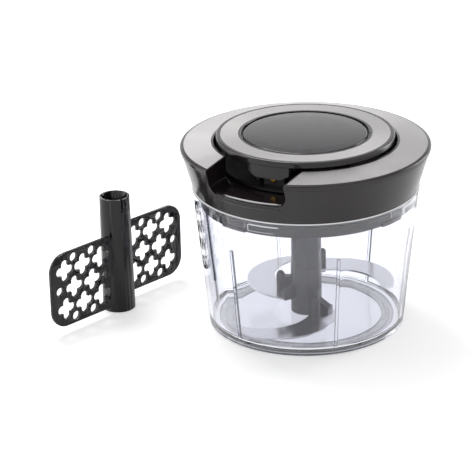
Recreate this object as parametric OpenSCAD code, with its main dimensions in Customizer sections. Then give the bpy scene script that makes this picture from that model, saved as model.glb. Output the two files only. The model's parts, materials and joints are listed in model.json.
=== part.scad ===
/* [Bowl] */
// Outer radius of the bowl at its rim
bowl_top_r = 73; // [72:0.5:75]
// Outer radius of the bowl at its base
bowl_base_r = 63.7; // [61:0.1:66]
// Height of the bowl's rim above the surface it stands on
bowl_h = 93; // [88:1:110]
// Wall thickness of the bowl
bowl_wall = 2.2; // [1.6:0.1:2.6]
// Thickness of the bowl's floor
bowl_floor = 1.8; // [1.6:0.1:3]
// Number of ribs on the inside of the bowl
rib_count = 6; // [3:1:8]
// Width of a rib
rib_w = 1.8; // [1.2:0.1:3]
// How far a rib stands out from the wall
rib_depth = 1.6; // [1:0.1:2.4]
// Height of a rib's top above the table
rib_top = 67; // [50:1:74]
// Direction of the first rib
rib_az = 47; // [0:1:59]

/* [Foot ring] */
// Distance of the foot ring from the bowl's outer edge
foot_inset = 6.5; // [5:0.1:9]
// Width of the foot ring
foot_w = 7.9; // [5:0.1:12]
// Height of the foot ring
foot_h = 2; // [1.8:0.1:4]

/* [Bayonet] */
// Number of bayonet lugs
lug_count = 4; // [3:1:4]
// Direction of the first bayonet lug
lug_az = 230; // [225:1:240]
// Angle that a lug spans
lug_span = 15; // [10:1:16]
// Height of a lug
lug_h = 2; // [1.5:0.1:2.4]
// How far the lid twists to lock
lock_twist = 20; // [18:1:24]
// How far a locking rail stands out from the bowl's wall
rail_reach = 1.7; // [1.3:0.1:2]

/* [Lid] */
// How far the lid's rim stands out past the bowl's rim
lid_flare = 7; // [6:0.5:9]
// Height of the lid's outer wall above the bowl's rim
lid_h = 30; // [29:0.5:34]
// Depth of the plug that enters the bowl
plug_depth = 10.5; // [9:0.1:11]
// Wall thickness of the lid's shell
lid_wall = 2.2; // [1.8:0.1:2.6]
// Width of the lid's deck, from its rim to the round well
deck_w = 21.5; // [20:0.5:23]
// How far the deck falls from the well to the rim
deck_drop = 2.2; // [0.5:0.1:3]
// Depth of the well
well_depth = 18.5; // [18.5:0.1:19.5]
// Thickness of the well's floor
well_floor = 2.5; // [2:0.1:2.8]
// Direction of the notch in the lid's front
notch_az = 240; // [225:1:245]
// Width of the notch
notch_w = 55; // [50:1:62]
// Corner radius at the bottom of the notch
notch_corner = 7; // [4:0.5:9]
// Thickness of the steel trim rings
trim_t = 0.8; // [0.5:0.1:1]

/* [Crank] */
// Direction in which the crank plate slides out
crank_az = 244.5; // [235:0.5:248]
// Thickness of the crank plate
plate_t = 3.9; // [3.6:0.1:5]
// Width of the steel ring on the crank plate
crank_trim_w = 11.4; // [9:0.1:12]
// Width of the crank plate's rim around the palm knob
crank_rim_w = 17.3; // [16.8:0.1:20]
// Width of the finger tab
tab_w = 28; // [22:1:30]
// Height of the finger tab below the plate
tab_h = 8.6; // [7:0.1:11]
// Diameter of the guide rod
rod_d = 5; // [4:0.1:6]
// Width of the sliding carriage
carriage_w = 24; // [20:0.5:26]
// Length of the sliding carriage
carriage_l = 38; // [34:1:38]

/* [Gears] */
// Module of the gear teeth
gear_m = 1.5; // [1.4:0.05:1.6]
// Teeth on the sun gear
sun_teeth = 18; // [18:3:21]
// Teeth on a planet gear
planet_teeth = 21; // [18:3:21]
// Face width of the gears
gear_w = 7.5; // [6:0.1:7.6]
// Direction of the first planet gear
planet_az = 35; // [0:1:119]
// Diameter of a planet pin
planet_pin_d = 4; // [3:0.1:5]
// Free play between meshing teeth
backlash = 0.3; // [0.2:0.05:0.4]

/* [Blades] */
// Outer radius of the drive tube at its top
tube_r = 9.9; // [9.5:0.1:10.4]
// Outer radius of the hub that carries the blades
hub_r = 10.1; // [9.8:0.1:11]
// Height of the joint between the hub and the tube above the bowl's floor
hub_h = 33.4; // [32:0.1:38]
// Height of the lowest blade above the bowl's floor
low_blade_h = 2; // [1.8:0.1:2.6]
// Height step from one blade to the next
blade_step = 11; // [10:0.1:12]
// Thickness of a blade
blade_t = 1.2; // [0.8:0.1:1.6]
// Gap between a blade's tip and the bowl's ribs
blade_gap = 1.9; // [1.2:0.1:5]
// Direction of the highest blade's lug
blade_az = 51.5; // [0:0.5:119]
// Height of the post on a blade lug, below its round top
post_h = 13.2; // [10:0.1:16]
// Diameter of the pin that the blades turn on
pin_d = 6; // [4:0.1:7]

/* [Paddle] */
// Distance of the loose paddle from the bowl's axis, to the left
paddle_x = -124.9; // [-170:0.1:-115]
// Distance of the loose paddle behind the bowl's axis
paddle_y = 15.4; // [-40:0.1:60]
// Direction of the paddle's wings
paddle_az = 47.2; // [0:0.1:90]
// Outer radius of the paddle's tube at its foot
paddle_foot_r = 10.8; // [10:0.1:11.4]
// Reach of a wing from the tube's axis
wing_reach = 62.3; // [58:0.1:64]
// Height of a wing
wing_h = 50.6; // [48:0.1:54]
// Thickness of a wing
wing_t = 2; // [1.5:0.1:3]
// Offset of a wing's middle plane from the tube's axis
wing_offset = 5; // [3:0.1:6.5]
// Corner radius of a wing
wing_corner = 12; // [6:0.5:14]
// Height of a wing's lower edge above the table
wing_lift = 4.8; // [1:0.1:8]
// Span of a cross-shaped hole
cross_span = 13; // [11:0.1:13.4]
// Arm width of a cross-shaped hole
cross_arm = 5; // [4:0.1:5.6]

/* [Hidden] */
$fn = 96;

// Clearances
press = 0.02;        // radial gap of a pressed-in pin or bush
running = 0.05;      // radial gap of a running journal
fit = 0.3;           // gap between moulded faces that don't touch
free = 0.5;          // gap at a moving moulded face
overlap = 0.01;      // how far two shapes of one solid reach into each other

// Colours
black = [0.12, 0.12, 0.13];
steel = [0.8, 0.8, 0.81];
clear = [0.82, 0.86, 0.93, 0.4];
grey = [0.37, 0.36, 0.39];
brass = [0.83, 0.65, 0.28];
gear_white = [0.92, 0.91, 0.87];
soft = [0.72, 0.74, 0.78];

// Bowl
bowl_slope = (bowl_top_r - bowl_base_r) / bowl_h;
bowl_wall_across = bowl_wall * sqrt(1 + bowl_slope * bowl_slope);
floor_z = foot_h + bowl_floor;
bowl_edge_z = 0.3;
foot_r = bowl_base_r - foot_inset;
boss_r = pin_d / 2 + 2.2;
boss_h = 4.5;
pin_rise = hub_h - 6.4;
pin_low = foot_h + 0.6;
function bowl_r(z) = bowl_base_r + bowl_slope * z;
function bowl_in_r(z) = bowl_r(z) - bowl_wall_across;

// Lid levels, from the bowl's rim up
seat_z = bowl_h + fit;
lid_top = bowl_h + lid_h;
well_z = lid_top - well_depth;
plug_z = bowl_h - plug_depth;
lid_foot_r = bowl_top_r - 0.8;
lid_rim_r = bowl_top_r + lid_flare;
well_r = lid_rim_r - deck_w;
bead_h = 3.5;
deck_t = 2.4;
bead_overhang = 0.9;
rim_top = lid_top - deck_drop;
wall_top = rim_top - bead_h;
lid_taper = (lid_rim_r - bead_overhang - lid_foot_r) / (wall_top - bowl_h);
function deck_z(r) = lid_top - deck_drop * (r - well_r) / deck_w;
function lid_r(z) = lid_foot_r + lid_taper * (z - bowl_h);
well_wall = 2;
lip_w = 1.6;
trim_margin = 0.9;
rim_margin = 2.4;
sill_r = 2.6;
sill_proud = 0.35;
notch_z = well_z + 0.5;
notch_back = sqrt(well_r * well_r - notch_w * notch_w / 4);
sill_z = notch_z - 1.4;

// Plug, seal and bayonet, from the plug's lower edge up
base_plate_z = plug_z + 3;
base_plate_t = 2.4;
base_top = base_plate_z + base_plate_t;
plug_wall = 1.8;
rail_gap = 0.4;
panel_t = 0.3;
plug_r = bowl_in_r(plug_z) - rail_reach - free;
lug_z = plug_z + 0.4;
rail_z = lug_z + lug_h + rail_gap;
seal_h = 2.4;
seal_z = bowl_h - seal_h - 1;
seal_seat_r = plug_r - 1.2;
flange_h = 2;
flange_r = lid_r(seat_z) - lid_wall - fit;

// Screw posts between the lid's shell and its base
post_r = 4;
post_place_r = plug_r - plug_wall - post_r - fit;
post_angles = [60, 130, 230, 300];
screw_r = 1.2;
screw_head_r = 2.7;
screw_head_h = 1.6;
screw_l = 11;
screw_depth = seat_z + 8;

// Gear train: the ring is turned by the crank and the sun turns the blades
ring_teeth = sun_teeth + 2 * planet_teeth;
sun_pitch_r = gear_m * sun_teeth / 2;
planet_pitch_r = gear_m * planet_teeth / 2;
ring_pitch_r = gear_m * ring_teeth / 2;
planet_place_r = sun_pitch_r + planet_pitch_r;
ring_root_r = ring_pitch_r + 1.25 * gear_m;
ring_out_r = ring_root_r + 2.6;
gear_z = base_top + 1.3;
gear_top = gear_z + gear_w;
ring_z = base_top + 0.6;
web_z = gear_top + 0.6;
web_t = 3;
web_top = web_z + web_t;
sun_az = 0;
ring_screw_place_r = 6;
ring_screw_l = 5;
function planet_dir(k) = planet_az + 120 * k;
// A planet is turned so that its tooth falls in a gap of the sun, and the ring so that it meshes too
function planet_turn(k) =
    planet_dir(k) + 180 - (sun_teeth * (sun_az - planet_dir(k)) + 180) / planet_teeth;
ring_turn = planet_dir(0)
    + (planet_teeth * (planet_turn(0) - planet_dir(0)) + 180) / ring_teeth;

// Drive: journal, bush and peg below the sun gear
journal_r = 5;
bush_wall = 2;
bush_flange_t = 1;
bush_z = base_plate_z - 0.2;
peg_top = bush_z - fit;
peg_h = 11;
peg_flange_t = 1.8;
peg_core_r = 4.6;
socket_r = 6.6;
socket_rib_r = 5;
socket_depth = 16;
key_span = 14;
slot_az = -35;
tube_top = peg_top - peg_flange_t - 0.6;
hex_r = 3.4;
hex_h = 3;

// Rotor in the well
hub_journal_r = 10;
rotor_bush_flange_t = 0.7;
rotor_bush_r = hub_journal_r + bush_wall;
rotor_z = well_z + rotor_bush_flange_t + 0.1;
rotor_t = 1.7;
rotor_top = rotor_z + rotor_t;
rotor_r = well_r - 6.5;
rod_r = rod_d / 2;
rod_wall = 1.6;
rod_z = rotor_top + free + rod_r + rod_wall;
pillar_t = 5;
pillar_wall = 4.5;
pillar_w = rod_d + 2 * pillar_wall;
rod_front = rotor_r - 6.5;
rod_rear = 2.5 - rotor_r;
rod_proud = 1.5;
carriage_rear = rod_rear + pillar_t + free;
carriage_front = carriage_rear + carriage_l;
carriage_top = rod_z + rod_r + rod_wall;
neck_w = carriage_w * 0.75;
rail_t = 2.4;
rail_h = 4;

// Crank plate above the lid
plate_z = lid_top + 0.4;
plate_top = plate_z + plate_t;
plate_r = well_r - 1.5;
knob_r = plate_r - crank_rim_w;
crank_trim_out = plate_r - 2.9;
crank_trim_in = crank_trim_out - crank_trim_w;
pocket_r = knob_r + 1.2;
pocket_z = plate_z + 1.4;
pad_t = 1.9;
pad_z = plate_z - pad_t;
pad_w = 38;
pad_inset = 5;
carriage_screw_grip = pocket_z - pad_z - 0.7;
stem_r = 4;
washer_r = 9;
washer_t = 1.2;
washer_z = pad_z - washer_t;
pad_front = -washer_r - 1;
tab_t = 3;
tab_r = plate_r - 1.6;
flange_t = 2;

// Blades
pin_top = floor_z + pin_rise;
hub_z = floor_z + 0.4;
joint_z = floor_z + hub_h;
spigot_h = 3.2;
spigot_r = 7.6;
bush_r = pin_d / 2 + 2;
bush_top = pin_top + 2;
recess_r = boss_r + 0.4;
blade_reach = bowl_in_r(floor_z) - rib_depth - blade_gap;
lug_reach = hub_r + 6.8;
lug_post_r = 2.75;
lug_web_w = 4.2;
lug_below = 1.6;
clamp_turn = 38;
clamp_reach = hub_r + 7.4;
clamp_w = 5;
clamp_rise = 3.2;
clamp_slope = 4.5;
function blade_z(k) = floor_z + low_blade_h + blade_step * (2 - k);
// Crescent: one round edge outside, a smaller one inside
edge_centre = blade_reach * [0.106, -0.363];
edge_r = blade_reach - norm(edge_centre);
back_centre = blade_reach * [-0.077, -0.4625];
back_r = blade_reach * 0.51;
tip_dir = -70;
root_r = hub_r - 2;
tail_dir = 47;
bevel_w = 1.6;

// Paddle: as tall as the hub and the drive tube together
paddle_h = tube_top - hub_z + 0.6;

// Points along an arc, for the outline of a revolved or extruded shape
function arc(centre, r, from, to, steps = 6) =
    [for (i = [0:steps]) let (a = from + (to - from) * i / steps) centre + r * [cos(a), sin(a)]];

// Involute gear outline
function inv(a) = tan(a) * 180 / PI - a;
function flank(n, r, half) =
    let (pitch = gear_m * n / 2, base = pitch * cos(20))
    half + inv(20) - inv(acos(min(1, base / max(r, base))));
function gear_points(n, root, tip, half, steps = 4) = [
    for (k = [0:n - 1]) each concat(
        [for (i = [0:steps]) let (r = root + (tip - root) * i / steps)
            r * [cos(360 * k / n - flank(n, r, half)), sin(360 * k / n - flank(n, r, half))]],
        [for (i = [0:steps]) let (r = tip - (tip - root) * i / steps)
            r * [cos(360 * k / n + flank(n, r, half)), sin(360 * k / n + flank(n, r, half))]]
    )
];

module gear(n, h) {
    pitch = gear_m * n / 2;
    half = 90 / n - backlash / 4 / pitch * 180 / PI;
    linear_extrude(h) polygon(gear_points(n, pitch - 1.2 * gear_m, pitch + 0.95 * gear_m, half));
}

// The space inside the ring gear's teeth
module ring_space(h) {
    half = 90 / ring_teeth + backlash / 4 / ring_pitch_r * 180 / PI;
    linear_extrude(h)
        polygon(gear_points(ring_teeth, ring_pitch_r - 0.9 * gear_m, ring_root_r, half));
}

module at(angle, r = 0, z = 0) {
    rotate([0, 0, angle]) translate([r, 0, z]) children();
}

module wedge(from, to, r, h) {
    rotate([0, 0, from]) rotate_extrude(angle = to - from) square([r, h]);
}

module tube(r_out, r_in, h) {
    rotate_extrude() translate([r_in, 0]) square([r_out - r_in, h]);
}

// Block along X, centred across, between two levels
module block(x0, x1, w, z0, z1) {
    translate([x0, -w / 2, z0]) cube([x1 - x0, w, z1 - z0]);
}

module screw(head_r, head_h, shank_r, shank_l) {
    rotate_extrude() polygon([
        [0, 0], [head_r, 0], [head_r, head_h * 0.5], [shank_r, head_h],
        [shank_r, head_h + shank_l - shank_r], [0, head_h + shank_l],
    ]);
}

// ---- bowl ----

module bowl_ribs() {
    intersection() {
        for (k = [0:rib_count - 1])
            at(rib_az + 360 * k / rib_count)
                block(bowl_in_r(0) - 2 * rib_depth, bowl_top_r, rib_w, floor_z - overlap, rib_top);
        rotate_extrude() polygon([
            [bowl_in_r(0) - rib_depth, 0], [bowl_in_r(0) + 0.6, 0],
            [bowl_in_r(bowl_h) + 0.6, bowl_h], [bowl_in_r(bowl_h) - rib_depth, bowl_h],
        ]);
    }
}

// Rails that the lid's lugs turn under, each with a slanted end and a thin raised panel before it
module bowl_rails() {
    in_r = bowl_in_r(rail_z);
    rail_top = seal_z - fit;
    panel_z = rail_z + 1.7;
    panel_top = bowl_h - 1;
    slant = 35;
    for (k = [0:lug_count - 1])
        at(lug_az + lock_twist - lug_span / 2 - 3 + 360 * k / lug_count) {
            intersection() {
                difference() {
                    translate([0, 0, rail_z]) wedge(0, lug_span + 2, bowl_top_r, rail_top - rail_z);
                    at(lug_span - 1, in_r, rail_z) rotate([-slant, 0, 0])
                        translate([-lug_h - 3, 0, -rail_top + rail_z]) cube(3 * (rail_top - rail_z));
                }
                rotate_extrude() polygon([
                    [in_r - rail_reach, rail_z - 1], [in_r + 0.5, rail_z - 1],
                    [bowl_in_r(rail_top) + 0.5, rail_top + 1], [in_r - rail_reach, rail_top + 1],
                ]);
            }
            intersection() {
                at(3 - lug_span, 0, panel_z) wedge(0, lug_span - 4.5, bowl_top_r, panel_top - panel_z);
                rotate_extrude() polygon([
                    [in_r - panel_t, rail_z], [in_r + 0.5, rail_z],
                    [bowl_in_r(bowl_h) + 0.5, bowl_h], [bowl_in_r(bowl_h) - panel_t, bowl_h],
                ]);
            }
        }
}

module bowl() {
    color(clear) difference() {
        union() {
            rotate_extrude() polygon(concat(
                [[0, foot_h], [foot_r + 0.2, foot_h], [foot_r + 0.2, bowl_edge_z]],
                arc([bowl_r(1) - 0.6, bowl_edge_z + 0.6], 0.6, -90, 0),
                arc([bowl_r(bowl_h) - 0.6, bowl_h - 0.6], 0.6, 0, 90),
                arc([bowl_in_r(bowl_h) + 0.6, bowl_h - 0.6], 0.6, 90, 180),
                arc([bowl_in_r(floor_z + 3) - 3, floor_z + 3], 3, 0, -90),
                [[0, floor_z]]
            ));
            bowl_ribs();
            bowl_rails();
            translate([0, 0, foot_h]) cylinder(r = boss_r, h = bowl_floor + boss_h);
        }
        translate([0, 0, pin_low]) cylinder(d = pin_d + 2 * press, h = bowl_floor + boss_h);
    }
}

module foot_ring() {
    color(soft) rotate_extrude() polygon([
        [foot_r - foot_w, foot_h], [foot_r - foot_w, 0.6], [foot_r - foot_w + 0.6, 0],
        [foot_r - foot_w / 2 - 1, 0], [foot_r - foot_w / 2 - 0.6, 0.8],
        [foot_r - foot_w / 2 + 0.6, 0.8], [foot_r - foot_w / 2 + 1, 0],
        [foot_r - 0.6, 0], [foot_r, 0.6], [foot_r, foot_h],
    ]);
}

module centre_pin() {
    color(steel) rotate_extrude() polygon([
        [0, pin_low], [pin_d / 2 - 0.3, pin_low], [pin_d / 2, pin_low + 0.3],
        [pin_d / 2, pin_top - 1.2], [pin_d / 2 - 1.2, pin_top], [0, pin_top],
    ]);
}

// ---- blades ----

// Tube with a ribbed socket in its top and a cavity below; its wall has a short slot at the mouth
module drive_tube(foot, top, r_foot, r_top) {
    difference() {
        rotate_extrude() polygon([
            [0, foot], [r_foot, foot], [r_top, top - 0.8], [r_top - 0.8, top], [0, top],
        ]);
        translate([0, 0, top - socket_depth]) cylinder(r = socket_r, h = socket_depth + 1);
        at(slot_az) block(socket_r - 1, r_top + 1, 3.6, top - 8, top + 1);
    }
    for (k = [0:2])
        at(120 * k) intersection() {
            translate([0, 0, top - socket_depth - overlap])
                wedge(-key_span / 2, key_span / 2, socket_r + 0.4, socket_depth - 1);
            translate([0, 0, top - socket_depth - overlap])
                tube(socket_r + 0.4, socket_rib_r, socket_depth);
        }
}

module blade_shaft() {
    color(grey) difference() {
        union() {
            drive_tube(joint_z, tube_top, tube_r, tube_r);
            translate([0, 0, joint_z - spigot_h]) cylinder(r = spigot_r, h = spigot_h + 1);
        }
        translate([0, 0, joint_z - spigot_h - 1])
            cylinder(r = spigot_r - 1.6, h = tube_top - joint_z - socket_depth - 2 + spigot_h);
    }
}

// Sickle between two round edges, from its tail to its round tip, grown on every side
module sickle(grow = 0) {
    far = 2 * blade_reach;
    intersection() {
        difference() {
            translate(edge_centre) circle(r = edge_r + grow);
            translate(back_centre) circle(r = back_r - grow);
            circle(r = root_r - grow);
        }
        rotate(tip_dir) translate([-far, 0]) square([2 * far, far]);
        rotate(tail_dir) translate([-far, grow - far]) square([2 * far, far]);
    }
    mid_r = (edge_reach(edge_centre, edge_r) + edge_reach(back_centre, back_r)) / 2;
    tip_r = edge_reach(edge_centre, edge_r) - mid_r - 0.05;
    intersection() {
        rotate(tip_dir) translate([mid_r, 0]) circle(r = tip_r + grow);
        translate(edge_centre) circle(r = edge_r + grow);
    }
}

// Distance from the axis, along the tip's direction, at which a round edge ends
function edge_reach(centre, r) =
    let (along = centre * [cos(tip_dir), sin(tip_dir)])
    along + sqrt(along * along - centre * centre + r * r);

module blade(k) {
    color(steel) translate([0, 0, blade_z(k)]) rotate([0, 0, blade_az + 120 * k]) intersection() {
        linear_extrude(blade_t) sickle();
        translate([edge_centre[0], edge_centre[1], 0])
            cylinder(r1 = edge_r + blade_t, r2 = edge_r - bevel_w + blade_t, h = blade_t * 2);
    }
}

module blade_high() { blade(0); }
module blade_mid() { blade(1); }
module blade_low() { blade(2); }

// Post and web that hold a blade's root, and the clamp at the blade's tail
module blade_lug(k) {
    low = max(hub_z, blade_z(k) - lug_below);
    rotate([0, 0, blade_az + 120 * k]) {
        block(hub_r - 1, lug_reach, lug_web_w, low, min(joint_z, low + post_h - 0.5));
        translate([lug_reach, 0, low]) cylinder(r = lug_post_r, h = post_h);
        translate([lug_reach, 0, low + post_h]) sphere(r = lug_post_r);
        rotate([90, 0, clamp_turn]) translate([0, 0, -clamp_w / 2]) linear_extrude(clamp_w) polygon([
            [hub_r - 1, low], [clamp_reach, low], [clamp_reach, blade_z(k) + blade_t + clamp_rise],
            [hub_r - 1, blade_z(k) + blade_t + clamp_rise + clamp_slope],
        ]);
    }
}

module blade_hub() {
    color(grey) difference() {
        union() {
            rotate_extrude() polygon([
                [0, hub_z], [hub_r - 0.6, hub_z], [hub_r, hub_z + 0.6],
                [hub_r, joint_z - 0.3], [hub_r - 0.3, joint_z], [0, joint_z],
            ]);
            for (k = [0:2]) blade_lug(k);
        }
        translate([0, 0, hub_z - 1]) cylinder(r = recess_r, h = boss_h + 1);
        translate([0, 0, hub_z]) cylinder(r = bush_r + press, h = joint_z - spigot_h - hub_z);
        translate([0, 0, joint_z - spigot_h - press]) cylinder(r = spigot_r + press, h = spigot_h + 1);
        for (k = [0:2])
            translate([0, 0, blade_z(k) - press]) rotate([0, 0, blade_az + 120 * k])
                linear_extrude(blade_t + 2 * press) sickle(press);
    }
}

module hub_bush() {
    low = hub_z + boss_h + 0.1;
    color(gear_white) difference() {
        translate([0, 0, low]) cylinder(r = bush_r, h = bush_top - low);
        translate([0, 0, low - 1]) cylinder(r = pin_d / 2 + running, h = pin_top + 0.1 - low + 1);
    }
}

// ---- lid ----

// Straight block that runs out along the notch
module notch_block(x0, x1, grow, z0, z1) {
    at(notch_az) block(x0, x1, notch_w + 2 * grow, z0, z1);
}

// The notch's own space: straight sides, round corners at its floor
module notch_cut(low, from) {
    at(notch_az) translate([from, 0, 0]) rotate([90, 0, 90]) linear_extrude(lid_rim_r) {
        translate([-notch_w / 2 + notch_corner, low]) square([notch_w - 2 * notch_corner, lid_h]);
        translate([-notch_w / 2, low + notch_corner]) square([notch_w, lid_h]);
        for (side = [-1, 1])
            translate([side * (notch_w / 2 - notch_corner), low + notch_corner])
                circle(r = notch_corner);
    }
}

// Full outer form of the lid's shell, with a round bead at its rim
module lid_form() {
    bead_r = 1.3;
    rotate_extrude() polygon(concat(
        [[0, seat_z], [lid_r(seat_z), seat_z], [lid_r(wall_top), wall_top]],
        [[lid_rim_r - 0.3, wall_top + 0.4]],
        arc([lid_rim_r - bead_r, rim_top - bead_r], bead_r, 0, 80),
        [[well_r, lid_top], [0, lid_top]]
    ));
}

// Hollow under the shell, around the notch's walls and the screw posts
module lid_cavity() {
    difference() {
        rotate_extrude() polygon([
            [0, seat_z - 1], [lid_r(seat_z - 1) - lid_wall, seat_z - 1],
            [lid_r(wall_top) - lid_wall, rim_top - deck_t],
            [well_r + well_wall, lid_top - deck_t], [well_r + well_wall, well_z - well_floor],
            [0, well_z - well_floor],
        ]);
        notch_block(notch_back, lid_rim_r, lid_wall, well_z - well_floor - 0.4, lid_top);
        post_places() translate([0, 0, seat_z - 2]) cylinder(r = post_r, h = lid_h);
    }
}

// The well with its rounded lip and the bore for the rotor's bush
module well_space() {
    rotate_extrude() polygon(concat(
        [[0, lid_top + 1], [well_r + 0.5, lid_top + 1]],
        arc([well_r + 0.5, lid_top - 0.5], 0.5, 90, 180),
        [[well_r, well_z], [rotor_bush_r + press, well_z]],
        [[rotor_bush_r + press, well_z - well_floor - 1], [0, well_z - well_floor - 1]]
    ));
}

module post_places() {
    for (a = post_angles) at(notch_az + a, post_place_r) children();
}

module lid_shell() {
    color(black) {
        difference() {
            lid_form();
            lid_cavity();
            well_space();
            notch_cut(notch_z, notch_back - lid_wall);
            trim_shape(trim_t + 1, 0);
            post_places() translate([0, 0, seat_z - 1])
                cylinder(r = screw_r + press, h = screw_depth - seat_z + 1);
        }
        notch_sill();
        post_places() translate([0, 0, base_top]) tube(post_r, screw_r + press, seat_z - base_top + 1);
    }
}

// Rounded sill across the mouth of the notch
module notch_sill() {
    intersection() {
        rotate_extrude() translate([lid_r(sill_z) - sill_r + sill_proud, sill_z]) circle(r = sill_r);
        notch_block(0, lid_rim_r, 2.5 - notch_corner, sill_z - sill_r - 1, sill_z + sill_r + 1);
    }
}

// The steel ring and its recess, which follow the deck's slope and stop short of the notch
module trim_shape(h, gap) {
    r_in = well_r + lip_w - gap;
    r_out = lid_rim_r - rim_margin + gap;
    difference() {
        rotate_extrude() polygon([
            [r_in, deck_z(r_in) - trim_t - gap], [r_out, deck_z(r_out) - trim_t - gap],
            [r_out, deck_z(r_out) - trim_t + h], [r_in, deck_z(r_in) - trim_t + h],
        ]);
        notch_block(0, lid_rim_r + 1, trim_margin - gap, rim_top - trim_t - 1, lid_top + 1);
    }
}

module lid_trim_ring() {
    color(steel) trim_shape(trim_t, -press);
}

module lid_base() {
    color(black) difference() {
        union() {
            rotate_extrude() polygon([
                [bush_r_out() + press, base_plate_z], [plug_r - plug_wall, base_plate_z],
                [plug_r - plug_wall, plug_z + 0.5], [plug_r - plug_wall + 0.5, plug_z],
                [plug_r - 0.5, plug_z], [plug_r, plug_z + 0.5],
                [plug_r, seal_z], [seal_seat_r, seal_z], [seal_seat_r, seal_z + seal_h + 0.1],
                [plug_r, seal_z + seal_h + 0.1], [plug_r, seat_z + 0.4],
                [flange_r, seat_z + 0.4], [flange_r, seat_z + 0.4 + flange_h],
                [plug_r - plug_wall, seat_z + 0.4 + flange_h], [plug_r - plug_wall, base_top],
                [bush_r_out() + press, base_top],
            ]);
            translate([0, 0, bush_z])
                tube(bush_r_out() + 2.4, bush_r_out() + press, base_plate_z - bush_z + 0.5);
            for (k = [0:2])
                at(planet_dir(k), planet_place_r, base_top - 0.5)
                    cylinder(r = planet_pin_d / 2 + 2.2, h = gear_z - base_top - fit / 2 + 0.5);
            lid_lugs();
        }
        for (k = [0:2])
            at(planet_dir(k), planet_place_r, base_plate_z + 0.6)
                cylinder(d = planet_pin_d + 2 * press, h = base_plate_t + 5);
        post_places() translate([0, 0, base_plate_z - 1]) cylinder(r = screw_r + 0.2, h = base_plate_t + 2);
        post_places() translate([0, 0, base_plate_z - 1])
            cylinder(r = screw_head_r + 0.1, h = screw_head_h + 1);
    }
}

// Bayonet lugs on the plug, each with a slanted upper face
module lid_lugs() {
    reach = bowl_in_r(lug_z) - free;
    intersection() {
        for (k = [0:lug_count - 1])
            rotate([0, 0, lug_az + 360 * k / lug_count - lug_span / 2])
                translate([0, 0, lug_z]) wedge(0, lug_span, reach, lug_h);
        rotate_extrude() polygon([
            [plug_r - 0.6, lug_z], [reach, lug_z], [reach, lug_z + lug_h - 0.3],
            [reach - 0.3, lug_z + lug_h], [plug_r - 0.6, lug_z + lug_h],
        ]);
    }
}

module lid_seal() {
    lip = bowl_in_r(seal_z) - panel_t - fit;
    color(soft) rotate_extrude() polygon([
        [seal_seat_r + 0.05, seal_z + 0.05], [plug_r + 0.4, seal_z + 0.05],
        [lip, seal_z + seal_h * 0.35], [lip, seal_z + seal_h * 0.65],
        [plug_r + 0.4, seal_z + seal_h], [seal_seat_r + 0.05, seal_z + seal_h],
    ]);
}

module base_screws() {
    color(steel) post_places() translate([0, 0, base_plate_z])
        screw(screw_head_r, screw_head_h, screw_r, screw_l);
}

module planet_pins() {
    low = base_plate_z + 0.6;
    color(steel) for (k = [0:2])
        at(planet_dir(k), planet_place_r) rotate_extrude() polygon([
            [0, low], [planet_pin_d / 2, low],
            [planet_pin_d / 2, gear_top + 0.1],
            [planet_pin_d / 2 - 0.4, gear_top + 0.4], [0, gear_top + 0.4],
        ]);
}

module shaft_bush() {
    color(brass) translate([0, 0, bush_z]) {
        tube(bush_r_out(), journal_r + running, base_top - bush_z);
        translate([0, 0, base_top - bush_z])
            tube(bush_r_out() + 1.6, journal_r + running, bush_flange_t);
    }
}

function bush_r_out() = journal_r + bush_wall;

module rotor_bush() {
    color(gear_white) {
        translate([0, 0, well_z - well_floor + 0.3])
            tube(rotor_bush_r, hub_journal_r + running, well_floor - 0.3);
        translate([0, 0, well_z]) tube(rotor_bush_r + 2.5, hub_journal_r + running, rotor_bush_flange_t);
    }
}

// ---- gear train ----

module planet_gear(k) {
    color(gear_white) at(planet_dir(k), planet_place_r, gear_z)
        rotate([0, 0, planet_turn(k) - planet_dir(k)]) difference() {
            gear(planet_teeth, gear_w);
            translate([0, 0, -1]) cylinder(r = planet_pin_d / 2 + running, h = gear_w + 2);
            for (i = [0:4])
                at(72 * i, planet_pitch_r * 0.52, -1) cylinder(r = planet_pitch_r * 0.18, h = gear_w + 2);
        }
}

module planet_gear_1() { planet_gear(0); }
module planet_gear_2() { planet_gear(1); }
module planet_gear_3() { planet_gear(2); }

module sun_gear() {
    color(gear_white) difference() {
        union() {
            translate([0, 0, gear_z]) rotate([0, 0, sun_az]) gear(sun_teeth, gear_w);
            translate([0, 0, peg_top]) cylinder(r = journal_r, h = gear_z - peg_top + 1);
        }
        translate([0, 0, peg_top - 1]) cylinder(r = hex_r + press, h = hex_h + 1.1, $fn = 6);
        translate([0, 0, peg_top]) cylinder(r = screw_r + press, h = hex_h + 8);
    }
}

module drive_peg() {
    color(grey) difference() {
        union() {
            translate([0, 0, peg_top - peg_flange_t]) cylinder(r = bush_r_out() + 1, h = peg_flange_t);
            translate([0, 0, peg_top - 0.5]) cylinder(r = hex_r, h = hex_h + 0.5, $fn = 6);
            rotate_extrude() polygon([
                [0, peg_top - peg_h], [peg_core_r - 1, peg_top - peg_h],
                [peg_core_r, peg_top - peg_h + 1], [peg_core_r, peg_top - 1], [0, peg_top - 1],
            ]);
            for (k = [0:2])
                at(60 + 120 * k) intersection() {
                    translate([0, 0, peg_top - peg_h])
                        wedge(-key_span / 2, key_span / 2, socket_r - fit, peg_h - 1);
                    rotate_extrude() polygon([
                        [1, peg_top - peg_h], [socket_r - fit - 1.2, peg_top - peg_h],
                        [socket_r - fit, peg_top - peg_h + 1.5],
                        [socket_r - fit, peg_top - 1], [1, peg_top - 1],
                    ]);
                }
        }
        translate([0, 0, peg_top - peg_h - 1]) cylinder(r = screw_head_r + 0.1, h = screw_head_h + 3);
        translate([0, 0, peg_top - peg_h]) cylinder(r = screw_r + press, h = peg_h + hex_h + 1);
    }
}

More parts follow.
